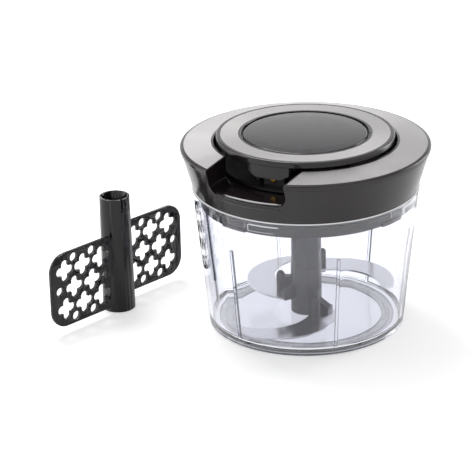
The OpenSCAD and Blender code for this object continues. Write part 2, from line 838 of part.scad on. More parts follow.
module peg_screw() {
    color(steel) translate([0, 0, peg_top - peg_h + 2])
        screw(screw_head_r, screw_head_h, screw_r, peg_h + hex_h + 2);
}

// The ring gear hangs from the rotor's hub by its web
module ring_gear() {
    color(gear_white) difference() {
        translate([0, 0, ring_z]) cylinder(r = ring_out_r, h = web_top - ring_z);
        translate([0, 0, ring_z - 1]) rotate([0, 0, ring_turn + 180 / ring_teeth])
            ring_space(web_z - ring_z + 1);
        ring_screw_places() {
            translate([0, 0, web_z - 1]) cylinder(r = screw_head_r + 0.1, h = screw_head_h + 1);
            translate([0, 0, web_z]) cylinder(r = screw_r + 0.2, h = web_t + 1);
        }
    }
}

module ring_screw_places() {
    for (k = [0:2]) at(120 * k, ring_screw_place_r) children();
}

module ring_gear_screws() {
    color(steel) ring_screw_places() translate([0, 0, web_z])
        screw(screw_head_r, screw_head_h, screw_r, ring_screw_l);
}

// ---- crank ----

// Disc that the ring gear hangs from, with two pillars for the guide rod and two side rails
module rotor() {
    color(black) difference() {
        union() {
            translate([0, 0, rotor_z]) cylinder(r = rotor_r, h = rotor_t);
            translate([0, 0, web_top]) cylinder(r = hub_journal_r, h = rotor_z - web_top + 1);
            at(crank_az) for (x = [rod_rear, rod_front - pillar_t])
                block(x, x + pillar_t, pillar_w, rotor_top - 0.5, rod_z + rod_r + rod_wall);
            at(crank_az) for (side = [-1, 1])
                translate([0, side * (carriage_w / 2 + free + rail_t / 2), 0])
                    block(carriage_rear, rod_front - pillar_t, rail_t, rotor_top - 0.5, rotor_top + rail_h);
        }
        at(crank_az) translate([rod_rear - 1, 0, rod_z]) rotate([0, 90, 0])
            cylinder(r = rod_r + press, h = rod_front - rod_rear + 2);
        ring_screw_places() translate([0, 0, web_top - 1]) cylinder(r = screw_r + press, h = ring_screw_l);
    }
}

module guide_rod() {
    length = rod_front + rod_proud - rod_rear - 0.5;
    color(brass) at(crank_az) translate([rod_rear + 0.5, 0, rod_z]) rotate([0, 90, 0])
        rotate_extrude() polygon([
            [0, 0], [rod_r - 0.3, 0], [rod_r, 0.3],
            [rod_r, length - 0.8], [rod_r - 0.8, length], [0, length],
        ]);
}

module carriage_screw_places() {
    at(crank_az) for (x = [carriage_rear + pad_inset, pad_front - pad_inset], side = [-1, 1])
        translate([x, side * (pad_w / 2 - pad_inset), 0]) children();
}

module slide_carriage() {
    color(grey) difference() {
        at(crank_az) {
            block(carriage_rear, carriage_front, carriage_w, rotor_top + free, carriage_top);
            block(carriage_rear, pad_front, neck_w, carriage_top - 0.5, pad_z - flange_t + 0.5);
            block(carriage_rear, pad_front, pad_w, pad_z - flange_t, pad_z);
        }
        at(crank_az) translate([carriage_rear - 1, 0, rod_z]) rotate([0, 90, 0])
            cylinder(r = rod_r + running, h = carriage_l + 2);
        carriage_screw_places() translate([0, 0, pad_z - flange_t - 1])
            cylinder(r = screw_r + 0.2, h = flange_t + 2);
    }
}

module carriage_screws() {
    color(steel) carriage_screw_places() translate([0, 0, pad_z - flange_t - screw_head_h])
        screw(screw_head_r, screw_head_h, screw_r, flange_t + carriage_screw_grip);
}

module crank_plate() {
    edge = 1.1;
    color(black) difference() {
        union() {
            rotate_extrude() polygon(concat(
                [[0, plate_z]], arc([plate_r - 0.6, plate_z + 0.6], 0.6, -90, 0),
                arc([plate_r - edge, plate_top - edge], edge, 0, 90),
                [[crank_trim_out, plate_top], [crank_trim_out, plate_top - trim_t]],
                [[crank_trim_in, plate_top - trim_t], [crank_trim_in, plate_top]],
                [[pocket_r + 0.3, plate_top], [pocket_r, plate_top - 0.3], [pocket_r, pocket_z]],
                [[0, pocket_z]]
            ));
            at(crank_az) block(carriage_rear, pad_front, pad_w, pad_z, plate_z + 0.5);
            finger_tab();
        }
        translate([0, 0, pad_z - 1]) cylinder(r = stem_r + running, h = plate_t + pad_t + 2);
        carriage_screw_places() translate([0, 0, pad_z - 1])
            cylinder(r = screw_r + press, h = carriage_screw_grip + 1.2);
    }
}

// Curved pull under the plate's edge, with chamfered lower corners
module finger_tab() {
    chamfer = 5.3;
    chamfer_h = 2.8;
    low = plate_z - tab_h;
    at(crank_az) intersection() {
        translate([0, 0, low]) tube(tab_r, tab_r - tab_t, tab_h + 1);
        rotate([90, 0, 90]) linear_extrude(plate_r) polygon([
            [-tab_w / 2, plate_z + 1], [-tab_w / 2, low + chamfer_h], [-tab_w / 2 + chamfer, low],
            [tab_w / 2 - chamfer, low], [tab_w / 2, low + chamfer_h], [tab_w / 2, plate_z + 1],
        ]);
    }
}

module crank_trim_ring() {
    color(steel) translate([0, 0, plate_top - trim_t])
        tube(crank_trim_out - press, crank_trim_in + press, trim_t);
}

module palm_knob() {
    edge = 1.1;
    top = plate_top - 0.2;
    color(black) difference() {
        rotate_extrude() polygon(concat(
            [[0, washer_z + washer_t + 0.05], [stem_r, washer_z + washer_t + 0.05]],
            [[stem_r, pocket_z + 0.15], [knob_r - 0.3, pocket_z + 0.15], [knob_r, pocket_z + 0.45]],
            arc([knob_r - edge, top - edge], edge, 0, 90),
            [[knob_r * 0.8, top + 0.05], [0, top]]
        ));
        translate([0, 0, pad_z - 1]) cylinder(r = screw_r + press, h = 5);
    }
}

module knob_washer() {
    color(steel) translate([0, 0, washer_z]) tube(washer_r, screw_r + 0.2, washer_t);
}

module knob_screw() {
    color(steel) translate([0, 0, washer_z - screw_head_h])
        screw(screw_head_r, screw_head_h, screw_r, washer_t + 3);
}

// ---- mixing paddle ----

module cross_hole() {
    reach = (cross_span - cross_arm) / 2;
    for (a = [0, 90]) rotate(a) {
        square([2 * reach, cross_arm], center = true);
        for (side = [-1, 1]) translate([side * reach, 0]) circle(d = cross_arm);
    }
    rotate(45) square(cross_arm * 1.25, center = true);
}

// Outline of a wing seen square on: rounded outer corners
module wing_outline() {
    inner = paddle_foot_r - 5;
    translate([inner, 0]) square([wing_reach - wing_corner - inner, wing_h]);
    translate([inner, wing_corner]) square([wing_reach - inner, wing_h - 2 * wing_corner]);
    for (z = [wing_corner, wing_h - wing_corner])
        translate([wing_reach - wing_corner, z]) circle(r = wing_corner);
}

module wing_holes() {
    row = wing_h / 2 - wing_corner;
    pitch = cross_span + 2.4;
    last = wing_reach - wing_corner - 0.5;
    translate([0, wing_h / 2]) {
        for (i = [0:2], side = [-1, 1]) translate([last - pitch * i, side * row]) cross_hole();
        for (i = [0:1]) translate([last - pitch * (i + 0.5), 0]) cross_hole();
        for (i = [0:1], side = [-1, 1])
            translate([last - pitch * (i + 0.5), side * (row + 7.3)]) circle(d = cross_arm);
        for (x = [last + 3.6, last - pitch * 2 - 3.2]) translate([x, 0]) circle(d = cross_arm - 0.6);
    }
}

module wing() {
    translate([0, wing_offset + wing_t / 2, wing_lift]) rotate([90, 0, 0])
        linear_extrude(wing_t) difference() {
            wing_outline();
            wing_holes();
        }
}

module mixing_paddle() {
    color(black) translate([paddle_x, paddle_y, 0]) rotate([0, 0, paddle_az]) difference() {
        union() {
            rotate([0, 0, -paddle_az]) drive_tube(0, paddle_h, paddle_foot_r, tube_r);
            for (a = [0, 180]) rotate([0, 0, a]) wing();
        }
        translate([0, 0, -1]) cylinder(r = pin_d / 2 + 2 * running, h = paddle_h - socket_depth - 4);
        translate([0, 0, -1]) cylinder(r = recess_r, h = boss_h + 1.5);
    }
}

bowl();
foot_ring();
centre_pin();
blade_hub();
blade_shaft();
hub_bush();
blade_high();
blade_mid();
blade_low();
lid_seal();
lid_shell();
lid_trim_ring();
lid_base();
base_screws();
planet_pins();
shaft_bush();
rotor_bush();
rotor();
ring_gear();
ring_gear_screws();
guide_rod();
crank_plate();
crank_trim_ring();
slide_carriage();
carriage_screws();
palm_knob();
knob_washer();
knob_screw();
sun_gear();
drive_peg();
peg_screw();
planet_gear_1();
planet_gear_2();
planet_gear_3();
mixing_paddle();
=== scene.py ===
import json
import math

import bpy
from mathutils import Matrix, Vector


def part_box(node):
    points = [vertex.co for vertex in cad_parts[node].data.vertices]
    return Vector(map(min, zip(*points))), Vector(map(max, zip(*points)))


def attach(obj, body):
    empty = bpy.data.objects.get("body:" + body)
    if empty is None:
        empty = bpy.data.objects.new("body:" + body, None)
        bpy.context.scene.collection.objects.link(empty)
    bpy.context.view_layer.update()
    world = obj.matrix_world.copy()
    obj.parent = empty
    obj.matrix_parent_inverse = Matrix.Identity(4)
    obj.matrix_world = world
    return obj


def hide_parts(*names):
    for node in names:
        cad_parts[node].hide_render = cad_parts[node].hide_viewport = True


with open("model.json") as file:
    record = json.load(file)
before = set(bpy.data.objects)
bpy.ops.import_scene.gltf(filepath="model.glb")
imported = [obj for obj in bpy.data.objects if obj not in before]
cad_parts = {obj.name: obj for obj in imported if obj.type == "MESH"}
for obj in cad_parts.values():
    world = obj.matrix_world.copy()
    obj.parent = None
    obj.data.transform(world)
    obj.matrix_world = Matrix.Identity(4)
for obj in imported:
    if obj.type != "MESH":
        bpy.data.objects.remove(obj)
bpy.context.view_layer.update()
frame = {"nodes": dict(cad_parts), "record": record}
MM = 0.001


# ---- colours and nodes ----

def linear(hex_colour):
    """An sRGB hex colour as linear RGBA."""
    parts = [int(hex_colour[i:i + 2], 16) / 255 for i in (1, 3, 5)]
    return [c / 12.92 if c <= 0.04045 else ((c + 0.055) / 1.055) ** 2.4 for c in parts] + [1.0]


def add(tree, kind, inputs=None, **settings):
    """Adds a node with its settings; an input is a value or the socket that feeds it."""
    made = tree.nodes.new(kind)
    for name, value in settings.items():
        setattr(made, name, value)
    for name, value in (inputs or {}).items():
        if isinstance(value, bpy.types.NodeSocket):
            tree.links.new(value, made.inputs[name])
        else:
            made.inputs[name].default_value = value
    return made


def new_tree(name):
    """An empty material and its node tree."""
    made = bpy.data.materials.new(name)
    made.use_nodes = True
    made.node_tree.nodes.clear()
    return made, made.node_tree


# Inputs of a Mix node set to colours, and its output
COLOUR_A, COLOUR_B, COLOUR_OUT = 6, 7, 2
# Most of a noise lies between these, so this part of it is spread over a range
NOISE_LOW, NOISE_HIGH = 0.3, 0.7


def grain(tree, size_mm, detail=2.0, stretch=(1, 1, 1), rough=0.5):
    """Noise whose lumps are about size_mm across, longer along an axis that is stretched."""
    place = add(tree, "ShaderNodeTexCoord")
    scale = add(tree, "ShaderNodeMapping", {
        "Vector": place.outputs["Object"], "Scale": [1 / s for s in stretch]})
    return add(tree, "ShaderNodeTexNoise", {
        "Vector": scale.outputs["Vector"], "Scale": 1 / (size_mm * MM),
        "Detail": detail, "Roughness": rough}).outputs["Fac"]


def drifting(tree, tone, wear, colours, rough):
    """Base colour and roughness that drift between two values each, with a noise each."""
    shade = add(tree, "ShaderNodeMapRange", {
        "Value": tone, "From Min": NOISE_LOW, "From Max": NOISE_HIGH})
    colour = add(tree, "ShaderNodeMix", {
        "Factor": shade.outputs["Result"],
        COLOUR_A: linear(colours[0]), COLOUR_B: linear(colours[1])}, data_type="RGBA")
    gloss = add(tree, "ShaderNodeMapRange", {
        "Value": wear, "From Min": NOISE_LOW, "From Max": NOISE_HIGH,
        "To Min": rough[0], "To Max": rough[1]})
    return {"Base Color": colour.outputs[COLOUR_OUT], "Roughness": gloss.outputs["Result"]}


# ---- plastics ----

FLOW_MARK_MM, MOULD_WEAR_MM = 14, 5
STYRENE_IOR = 1.54


def moulded(name, colours, rough, grain_mm=0.35, grain_depth=0.01, shine=0.5):
    """Injection-moulded opaque plastic: nearly even colour, faint flow marks, a fine skin."""
    made, tree = new_tree(name)
    flow = grain(tree, FLOW_MARK_MM)
    wear = grain(tree, MOULD_WEAR_MM, 3.0)
    skin = add(tree, "ShaderNodeBump", {
        "Height": grain(tree, grain_mm), "Distance": grain_depth * MM})
    shader = add(tree, "ShaderNodeBsdfPrincipled", {
        **drifting(tree, flow, wear, colours, rough), "Normal": skin.outputs["Normal"],
        "IOR": STYRENE_IOR, "Specular IOR Level": shine})
    add(tree, "ShaderNodeOutputMaterial", {"Surface": shader.outputs["BSDF"]})
    return made


def crowned(name, colours, rough, radius_mm, crown_mm):
    """Polished moulding whose flat face swells a little towards its middle."""
    made = moulded(name, colours, rough)
    tree = made.node_tree
    shader = next(n for n in tree.nodes if n.bl_idname == "ShaderNodeBsdfPrincipled")
    place = add(tree, "ShaderNodeTexCoord")
    flat = add(tree, "ShaderNodeVectorMath", {
        0: place.outputs["Object"], 1: (1, 1, 0)}, operation="MULTIPLY")
    out = add(tree, "ShaderNodeVectorMath", {
        0: flat.outputs["Vector"], 1: flat.outputs["Vector"]}, operation="DOT_PRODUCT")
    dome = add(tree, "ShaderNodeMath", {
        0: out.outputs["Value"], 1: -1 / (radius_mm * MM) ** 2}, operation="MULTIPLY")
    skin = shader.inputs["Normal"].links[0].from_node
    swell = add(tree, "ShaderNodeBump", {
        "Height": dome.outputs["Value"], "Distance": crown_mm * MM})
    tree.links.new(swell.outputs["Normal"], skin.inputs["Normal"])
    return made


def see_through(name, tint, ior, rough, ripple_mm, ripple_depth):
    """Clear moulded plastic whose skin ripples slightly, as a moulded wall does."""
    made, tree = new_tree(name)
    ripple = add(tree, "ShaderNodeBump", {
        "Height": grain(tree, ripple_mm, 1.0), "Distance": ripple_depth * MM})
    shader = add(tree, "ShaderNodeBsdfPrincipled", {
        "Base Color": linear(tint), "Roughness": rough, "IOR": ior,
        "Transmission Weight": 1.0, "Normal": ripple.outputs["Normal"]})
    add(tree, "ShaderNodeOutputMaterial", {"Surface": shader.outputs["BSDF"]})
    return made


def radial_share(tree):
    """How far a face looks straight out from, or in to, the bowl's axis, from 0 to 1, and the
    height that it lies at."""
    place = add(tree, "ShaderNodeTexCoord")
    skin = add(tree, "ShaderNodeNewGeometry")
    flat = add(tree, "ShaderNodeVectorMath", {
        0: place.outputs["Object"], 1: (1, 1, 0)}, operation="MULTIPLY")
    out = add(tree, "ShaderNodeVectorMath", {0: flat.outputs["Vector"]}, operation="NORMALIZE")
    facing = add(tree, "ShaderNodeVectorTransform", {"Vector": skin.outputs["True Normal"]},
                 vector_type="NORMAL", convert_from="WORLD", convert_to="OBJECT")
    share = add(tree, "ShaderNodeVectorMath", {
        0: out.outputs["Vector"], 1: facing.outputs["Vector"]}, operation="DOT_PRODUCT")
    height = add(tree, "ShaderNodeSeparateXYZ", {"Vector": place.outputs["Object"]})
    size = add(tree, "ShaderNodeMath", {0: share.outputs["Value"]}, operation="ABSOLUTE")
    return size.outputs["Value"], height.outputs["Z"]


# The rim and the rails start at this height, and the ribs stand between this floor and them
RIM_MM, BOWL_FLOOR_MM = 84, 6
# Share at which a face stops being a rim's narrow face, and at which it stops being a rib's flank
NARROW_FACE, RIB_FLANK = (0.75, 0.95), (0.9, 0.985)
# How much of a narrow face glows with a painted highlight, and how much of a flank is darkened with
# painted shade
RIM_PAINTED_GLOW_SHARE, FLANK_PAINTED_SHADE_SHARE = 0.85, 0.75
RIM_PAINTED_GLOW_COLOUR, RIM_PAINTED_GLOW_STRENGTH, FLANK_PAINTED_SHADE_COLOUR = "#F4F5F8", 0.8, "#777984"


def clear_wall(name, tint, ior, rough, ripple_mm, ripple_depth):
    """Clear wall of the bowl: along its rim and rails the narrow faces glow white, a painted
    highlight that stands in for light the plastic pipes to them, and below them the ribs' flanks
    are painted grey, painted shade that stands in for light they bend away."""
    made = see_through(name, tint, ior, rough, ripple_mm, ripple_depth)
    tree = made.node_tree
    glass = next(n for n in tree.nodes if n.bl_idname == "ShaderNodeBsdfPrincipled")
    out = next(n for n in tree.nodes if n.bl_idname == "ShaderNodeOutputMaterial")
    share, height = radial_share(tree)
    flank = add(tree, "ShaderNodeMapRange", {
        "Value": share, "From Min": RIB_FLANK[0], "From Max": RIB_FLANK[1],
        "To Min": FLANK_PAINTED_SHADE_SHARE, "To Max": 0.0})
    below_rim = add(tree, "ShaderNodeMath", {0: height, 1: RIM_MM * MM}, operation="LESS_THAN")
    above_floor = add(tree, "ShaderNodeMath", {
        0: height, 1: BOWL_FLOOR_MM * MM}, operation="GREATER_THAN")
    wall = add(tree, "ShaderNodeMath", {
        0: below_rim.outputs["Value"], 1: above_floor.outputs["Value"]}, operation="MULTIPLY")
    painted_shade_mask = add(tree, "ShaderNodeMath", {
        0: flank.outputs["Result"], 1: wall.outputs["Value"]}, operation="MULTIPLY")
    # Painted shade: the ribs' flanks are dimmed through a grey filter, standing in for light that
    # they bend away
    painted_shade = add(tree, "ShaderNodeBsdfTransparent", {"Color": linear(FLANK_PAINTED_SHADE_COLOUR)})
    with_painted_shade = add(tree, "ShaderNodeMixShader", {
        "Fac": painted_shade_mask.outputs["Value"], 1: glass.outputs["BSDF"], 2: painted_shade.outputs["BSDF"]})
    narrow = add(tree, "ShaderNodeMapRange", {
        "Value": share, "From Min": NARROW_FACE[0], "From Max": NARROW_FACE[1],
        "To Min": RIM_PAINTED_GLOW_SHARE, "To Max": 0.0})
    upper = add(tree, "ShaderNodeMath", {0: height, 1: RIM_MM * MM}, operation="GREATER_THAN")
    painted_glow_mask = add(tree, "ShaderNodeMath", {
        0: narrow.outputs["Result"], 1: upper.outputs["Value"]}, operation="MULTIPLY")
    # Painted highlight: the narrow faces above the rim glow white, standing in for light that the
    # plastic pipes to them
    painted_glow = add(tree, "ShaderNodeEmission", {
        "Color": linear(RIM_PAINTED_GLOW_COLOUR), "Strength": RIM_PAINTED_GLOW_STRENGTH})
    mixed = add(tree, "ShaderNodeMixShader", {
        "Fac": painted_glow_mask.outputs["Value"], 1: with_painted_shade.outputs["Shader"], 2: painted_glow.outputs["Emission"]})
    tree.links.new(mixed.outputs["Shader"], out.inputs["Surface"])
    return made


# A face's upright share of its normal, from where it counts as standing to where it lies flat
STANDING, LYING = 0.3, 0.9
RUBBER_IOR = 1.48


def thin_clear(name, colour, rough, flat_share, edge_painted_shade_share):
    """Clear soft rubber: its flat faces hardly show, with the rubber's faint grey, and its standing
    faces show as darker lines, painted shade for light that its walls bend away.
    """
    made, tree = new_tree(name)
    skin = add(tree, "ShaderNodeNewGeometry")
    split = add(tree, "ShaderNodeSeparateXYZ", {"Vector": skin.outputs["True Normal"]})
    lie = add(tree, "ShaderNodeMath", {0: split.outputs["Z"]}, operation="ABSOLUTE")
    body = add(tree, "ShaderNodeMapRange", {
        "Value": lie.outputs["Value"], "From Min": STANDING, "From Max": LYING,
        "To Min": edge_painted_shade_share, "To Max": flat_share})
    # Painted shade: standing faces are drawn more opaque in dark grey, as lines in place of light
    # that the walls bend away; the faint grey of the flat faces is the rubber's tint
    shader = add(tree, "ShaderNodeBsdfPrincipled", {
        "Base Color": linear(colour), "Roughness": rough, "IOR": RUBBER_IOR,
        "Alpha": body.outputs["Result"]})
    add(tree, "ShaderNodeOutputMaterial", {"Surface": shader.outputs["BSDF"]})
    return made


# ---- metals ----

METAL_CLOUD_MM = 18


def metal(name, colours, rough, streak=(1, 1, 1), streak_mm=0.25, depth=0.004, spun=0.0):
    """Bare metal with fine marks that run along the stretched axis; spun is how far turning
    marks round the middle draw its gleam out across them."""
    made, tree = new_tree(name)
    marks = grain(tree, streak_mm, 3.0, streak, 0.65)
    cloud = grain(tree, METAL_CLOUD_MM)
    skin = add(tree, "ShaderNodeBump", {"Height": marks, "Distance": depth * MM})
    shader = add(tree, "ShaderNodeBsdfPrincipled", {
        **drifting(tree, marks, cloud, colours, rough), "Normal": skin.outputs["Normal"],
        "Metallic": 1.0, "Anisotropic": spun})
    if spun:
        place = add(tree, "ShaderNodeTexCoord")
        round_axis = add(tree, "ShaderNodeVectorMath", {
            0: (0, 0, 1), 1: place.outputs["Object"]}, operation="CROSS_PRODUCT")
        along = add(tree, "ShaderNodeVectorTransform", {"Vector": round_axis.outputs["Vector"]},
                    vector_type="VECTOR", convert_from="OBJECT", convert_to="WORLD")
        tree.links.new(along.outputs["Vector"], shader.inputs["Tangent"])
    add(tree, "ShaderNodeOutputMaterial", {"Surface": shader.outputs["BSDF"]})
    return made


# ---- finishes ----

finishes = {
    # Styrene-acrylonitrile, injection moulded: clear as glass, faintly blue
    "clear_bowl": clear_wall("clear_san_plastic", "#E9EAF0", 1.57, 0.015, 22, 0.03),
    # Thermoplastic rubber, moulded: milky, soft and dull
    "clear_seal": see_through("milky_soft_rubber", "#DDDFE4", RUBBER_IOR, 0.38, 3, 0.02),
    # ABS, injection moulded in a polished tool: black with a clear gloss
    "black_shell": moulded("polished_black_abs", ("#1A1517", "#211B1D"), (0.13, 0.2)),
    "black_knob": crowned("polished_charcoal_abs", ("#211D22", "#272328"), (0.14, 0.2), 39.7, 0.6),
    # The same ABS where it is out of sight: a duller tool
    "black_satin": moulded(
        "satin_black_abs", ("#161516", "#1D1C1D"), (0.32, 0.42), 0.3, 0.02),
    # ABS, injection moulded: the paddle's hard gloss
    "paddle_black": moulded(
        "gloss_black_abs", ("#0D0A0A", "#151212"), (0.09, 0.14), 0.4, 0.012, 0.4),
    # Glass-filled nylon, moulded: dark grey drive parts with a slight sheen
    "grey_drive": moulded("grey_nylon", ("#23222D", "#2C2B36"), (0.15, 0.21), 0.3, 0.02),
    # Acetal, moulded: off-white gears with a waxy sheen
    "gear_acetal": moulded(
        "offwhite_acetal", ("#DCD8CC", "#E6E3D9"), (0.28, 0.36), 0.3, 0.015),
    # Stainless sheet: the mill's straight brush marks show faintly, and fine turning over them
    # draws the gleam out towards the ring's middle. The marks are coarser than real ones, to show
    "brushed_trim": metal("brushed_stainless_trim", ("#B6B4B4", "#C8C6C6"), (0.33, 0.39),
                          (30, 1, 1), 0.22, 0.008, 0.45),
    # Hardened stainless blade stock, ground fine
    "blade_steel": metal("ground_stainless_blade", ("#DCDCDE", "#E8E8EA"), (0.17, 0.23),
                         (1, 1, 20), 0.3, 0.003),
    # Plated steel: pins, screws and washers
    "plain_steel": metal("plated_steel", ("#B4B4B6", "#C6C6C8"), (0.16, 0.24)),
    # Drawn brass rod and sintered bronze
    "brass_rod": metal("drawn_brass", ("#C9973A", "#DDB052"), (0.12, 0.2), (1, 1, 1), 0.3, 0.003),
}
# Thermoplastic rubber again, but a clear grade: the foot ring hardly shows except at its edges,
# which are darkened with painted shade
clear_foot = thin_clear("clear_soft_rubber", "#555863", 0.3, 0.26, 0.8)

for part in frame["record"]["subparts"]:
    piece = frame["nodes"][part["node"]]
    piece.data.materials.clear()
    piece.data.materials.append(finishes[part["material_slot"]])
frame["nodes"]["foot_ring"].data.materials[0] = clear_foot


# ---- modelling by hand ----

# Two places closer than this are the same
SAME = 0.01 * MM


def alone(piece):
    """Makes a piece the only one that an operator acts on."""
    bpy.ops.object.select_all(action="DESELECT")
    piece.select_set(True)
    bpy.context.view_layer.objects.active = piece


def fresh(make, **where):
    """A primitive to start a piece from, alone in the selection."""
    bpy.ops.object.select_all(action="DESELECT")
    make(**where)
    bpy.ops.object.transform_apply(location=True, rotation=True, scale=True)
    return bpy.context.object


def opened(piece, kind, elements, chosen):
    """Opens a piece for editing, with only its chosen vertices or edges selected."""
    alone(piece)
    bpy.ops.object.mode_set(mode="EDIT")
    bpy.ops.mesh.select_mode(type=kind)
    bpy.ops.mesh.select_all(action="DESELECT")
    bpy.ops.object.mode_set(mode="OBJECT")
    for element in elements:
        element.select = chosen(element)
    bpy.ops.object.mode_set(mode="EDIT")


def shaped(piece, kind, **settings):
    """Adds a modifier with its settings and applies it."""
    alone(piece)
    step = piece.modifiers.new("step", kind)
    for name, value in settings.items():
        setattr(step, name, value)
    bpy.ops.object.modifier_apply(modifier=step.name)


def combined(piece, other, operation):
    """Unites a piece with another or cuts the other out of it, and clears the other away."""
    shaped(piece, "BOOLEAN", operation=operation, object=other, solver="EXACT", use_self=True)
    bpy.data.objects.remove(other)


def joined(pieces):
    """Makes one object of several, as they lie."""
    alone(pieces[0])
    for piece in pieces:
        piece.select_set(True)
    bpy.ops.object.join()
    return bpy.context.object


def copied(piece):
    """A copy of a piece with its own mesh, alone in the selection."""
    alone(piece)
    bpy.ops.object.duplicate()
    return bpy.context.selected_objects[0]


# ---- the sill's lip ----

# The sill's round in the lid: its middle, its radius, and where along the lid it lies
SILL_R, SILL_Z, SILL_ROUND = 72.96, 103.6, 2.6
SILL_AZ, SILL_HALF, SILL_STEPS = 240, 17.5, 28
LIP_W, LIP_T, LIP_PROUD, LIP_TILT, LIP_ROUND = 1.9, 0.5, 0.05, 64, 0.12


def sill_lip():
    """Flat polished lip along the top of the sill, where fingertips reach in."""
    tilt = math.radians(LIP_TILT)
    out = SILL_R + (SILL_ROUND + LIP_PROUD) * math.cos(tilt)
    up = SILL_Z + (SILL_ROUND + LIP_PROUD) * math.sin(tilt)
    lip = fresh(bpy.ops.mesh.primitive_plane_add, size=LIP_W * MM,
                location=(out * MM, 0, up * MM), rotation=(0, math.pi / 2 - tilt, 0))
    lip.name = "sill_lip"
    # Only the plane's edge across the sill is kept, and spun along it
    opened(lip, "VERT", lip.data.vertices, lambda corner: corner.co.y > 0)
    bpy.ops.mesh.delete(type="VERT")
    bpy.ops.mesh.select_all(action="SELECT")
    bpy.ops.mesh.spin(steps=SILL_STEPS, angle=2 * math.radians(SILL_HALF),
                      center=(0, 0, 0), axis=(0, 0, 1))
    bpy.ops.mesh.select_all(action="SELECT")
    bpy.ops.mesh.remove_doubles(threshold=SAME)
    bpy.ops.object.mode_set(mode="OBJECT")
    middle = sum((corner.co for corner in lip.data.vertices), Vector())
    lip.rotation_euler = (0, 0, math.radians(SILL_AZ) - math.atan2(middle.y, middle.x))
    bpy.ops.object.transform_apply(location=False, rotation=True, scale=False)
    # The face's outer side looks up, so that it thickens down into the sill
    if lip.data.polygons[0].normal.z < 0:
        bpy.ops.object.mode_set(mode="EDIT")
        bpy.ops.mesh.select_all(action="SELECT")
        bpy.ops.mesh.flip_normals()
        bpy.ops.object.mode_set(mode="OBJECT")
    shaped(lip, "SOLIDIFY", thickness=LIP_T * MM, offset=-1)
    shaped(lip, "BEVEL", width=LIP_ROUND * MM, segments=2)
    bpy.ops.object.shade_smooth_by_angle(angle=math.radians(35))
    lip.data.materials.append(finishes["black_shell"])
    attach(lip, "lid_body")


sill_lip()


# ---- the loose paddle ----

# All sizes in mm. The node's box gives the paddle's axis and height to a tenth, and the turn is
# its wings' direction
paddle_low, paddle_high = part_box("mixing_paddle")
PADDLE_X, PADDLE_Y = (round((paddle_low[i] + paddle_high[i]) / 2 / MM, 1) for i in (0, 1))
PADDLE_H = round(paddle_high[2] / MM, 1)
PADDLE_AZ = 47.2
FOOT_R, MOUTH_R, TUBE_SIDES, TUBE_ROUND = 10.8, 9.9, 96, 0.3
# The mouth's thin wall, the drive peg's socket below it and the bore for the bowl's pin
MOUTH_WALL, MOUTH_DEEP = 1.5, 10.0
SOCKET_R, SOCKET_DEEP = 6.6, 16.0
PIN_BORE_R, PIN_BORE_DEEP = 3.1, 58.0
# Two slots in the mouth, and how far their cutters reach past it
SLOT_W, SLOT_DEEP, SLOT_AZ, SLOT_PAST = 1.2, 9.0, (-56, -20), 2
# A wing's plate: where it starts and ends along the wing, and how far off the axis it stands
WING_FROM, WING_TO, WING_T, WING_OFF = 7.6, 62.3, 2.0, 5.0
WING_LIFT, WING_H, OUTER_CORNER, INNER_CORNER, CORNER_STEPS = 4.8, 50.6, 12.0, 6.0, 14
# Crosses: their span and arm, the ease of their inner corners, and how they are set out
CROSS_SPAN, CROSS_ARM, CROSS_EASE = 14.6, 5.9, 1.2
CROSS_PITCH, CROSS_ROW, LAST_CROSS = 15.4, 13.3, 50.3
# Round holes: above and below the middle crosses, beyond the last one and beside the tube
HOLE_D, HOLE_ROW, HOLE_SIDES = 6.0, 20.6, 32
END_HOLE_D, END_HOLE_PAST = 5.6, 5.0
TUBE_HOLE_D, TUBE_HOLE_PAST = 3.8, 2.6
# How far a cutter reaches through the plate
CUT_THROUGH = 8.0


def block(low, high):
    """A block between two corners."""
    return fresh(bpy.ops.mesh.primitive_cube_add, size=1,
                 scale=[(b - a) * MM for a, b in zip(low, high)],
                 location=[(a + b) / 2 * MM for a, b in zip(low, high)])


def pin(x, z, across):
    """A round cutter through the wing's plate."""
    return fresh(bpy.ops.mesh.primitive_cylinder_add, vertices=HOLE_SIDES,
                 radius=across / 2 * MM, depth=CUT_THROUGH * MM,
                 location=(x * MM, WING_OFF * MM, z * MM), rotation=(math.pi / 2, 0, 0))


def cross_cutter(x, z):
    """Two bars with round ends that cross, with their inner corners eased."""
    far = (CROSS_SPAN - CROSS_ARM) / 2
    half, eased = CROSS_ARM / 2, CROSS_ARM * CROSS_EASE
    near, back = WING_OFF - CUT_THROUGH / 2, WING_OFF + CUT_THROUGH / 2
    bars = [block((x - far, near, z - half), (x + far, back, z + half)),
            block((x - half, near, z - far), (x + half, back, z + far))]
    ends = [pin(x + dx, z + dz, CROSS_ARM)
            for dx, dz in ((far, 0), (-far, 0), (0, far), (0, -far))]
    lozenge = fresh(bpy.ops.mesh.primitive_cube_add, size=1,
                    scale=(eased * MM, CUT_THROUGH * MM, eased * MM),
                    location=(x * MM, WING_OFF * MM, z * MM), rotation=(0, math.pi / 4, 0))
    return bars + ends + [lozenge]


def rounded_plate():
    """A wing's plate, with wide rounds at its outer end and smaller ones by the tube."""
    plate = block((WING_FROM, WING_OFF - WING_T / 2, WING_LIFT),
                  (WING_TO, WING_OFF + WING_T / 2, WING_LIFT + WING_H))
    for end, corner in ((WING_TO, OUTER_CORNER), (WING_FROM, INNER_CORNER)):
        def across_end(edge):
            a, b = (plate.data.vertices[v].co for v in edge.vertices)
            return (abs(a.x - end * MM) < SAME and abs(b.x - end * MM) < SAME
                    and abs(a.z - b.z) < SAME)
        opened(plate, "EDGE", plate.data.edges, across_end)
        bpy.ops.mesh.bevel(offset=corner * MM, segments=CORNER_STEPS, affect="EDGES")
        bpy.ops.object.mode_set(mode="OBJECT")
    return plate


